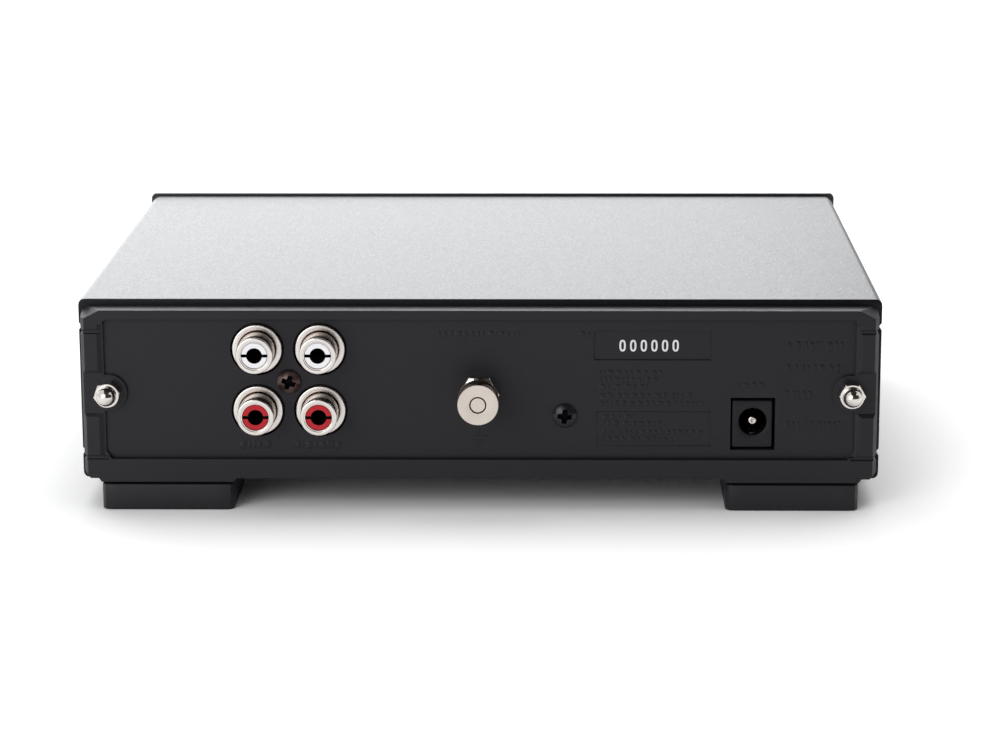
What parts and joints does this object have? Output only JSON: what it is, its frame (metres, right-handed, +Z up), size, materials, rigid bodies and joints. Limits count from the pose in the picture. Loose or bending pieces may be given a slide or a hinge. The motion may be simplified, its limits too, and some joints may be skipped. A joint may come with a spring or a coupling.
{
  "type": "phono preamp",
  "caption": "Slim black desktop phono preamp: extruded sleeve, moulded rear panel with phono sockets, ground post and power inlet, held by tie rods.",
  "frame": {"origin": "on the surface that the feet stand on, under the middle of the overall box", "axes": "+X along the case's width, +Y from the front fascia to the rear panel with the sockets, +Z up"},
  "size_m": [0.18, 0.1548, 0.0474],
  "materials": {
    "sleeve_paint": "fine textured black paint on extruded aluminium",
    "fascia_paint": "satin black painted plate",
    "moulded_black": "fine sparked moulding texture, black",
    "foot_rubber": "matt black",
    "zinc_steel": "zinc plated",
    "nickel": "warm satin nickel plate",
    "white_plastic": "plain white",
    "red_plastic": "plain red",
    "contact_gold": "gold flashed spring bronze",
    "copper_screw": "dark brown copper plate",
    "black_steel": "black oxide",
    "board_resin": "green solder mask on glass resin",
    "black_resin": "plain black",
    "lamp_clear": "clear moulded",
    "sleeve_blue": "dark blue shrink sleeve",
    "film_red": "dipped red epoxy",
    "resistor_blue": "light blue lacquer",
    "bare_aluminium": "plain extruded",
    "relay_white": "off-white moulded case",
    "button_black": "satin black"
  },
  "bodies": {
    "case": {"case_sleeve": "sleeve_paint", "front_fascia": "fascia_paint", "rear_panel": "moulded_black", "tie_rods": "zinc_steel", "domed_nuts": "nickel", "feet": "foot_rubber", "foot_screws": "black_steel", "circuit_board": "board_resin", "socket_block": "black_resin", "socket_barrels": "nickel", "upper_insulators": "white_plastic", "lower_insulators": "red_plastic", "socket_contacts": "contact_gold", "socket_screw": "copper_screw", "bracket_screw": "black_steel", "board_bracket": "zinc_steel", "ground_stud": "nickel", "ground_nut": "nickel", "ground_inner_nut": "nickel", "ground_strap": "zinc_steel", "power_socket": "black_resin", "power_socket_pin": "contact_gold", "power_socket_spring": "contact_gold", "switch_body": "black_resin", "light_pipe": "lamp_clear", "lamp": "lamp_clear", "reservoir_capacitors": "sleeve_blue", "coupling_capacitors": "sleeve_blue", "film_capacitors": "film_red", "amplifier_chips": "black_resin", "resistors": "resistor_blue", "regulators": "black_resin", "heat_sinks": "bare_aluminium", "mute_relay": "relay_white"},
    "button": {"power_button": "button_black", "switch_plunger": "relay_white"},
    "thumb_carrier": {"thumb_washer": "nickel"},
    "thumb_screw": {"thumb_nut": "nickel"}
  },
  "joints": [
    {"name": "button_press", "type": "slide", "parent": "case", "child": "button", "axis": [0, 1, 0], "range_m": [0, 0.003], "stiffness_N_per_m": 600, "springref_m": -0.001},
    {"name": "thumb_travel", "type": "slide", "parent": "case", "child": "thumb_carrier", "axis": [0, 1, 0], "range_m": [-0.0028, 0.0007]},
    {"name": "thumb_turn", "type": "hinge", "parent": "thumb_carrier", "child": "thumb_screw", "pos_m": [0, 0.0729, 0.02645], "axis": [0, 1, 0], "range_deg": [-1450, 370]}
  ],
  "couplings": [
    {"joint": "thumb_turn", "follows": "thumb_travel", "rad_per_m": 8976}
  ]
}
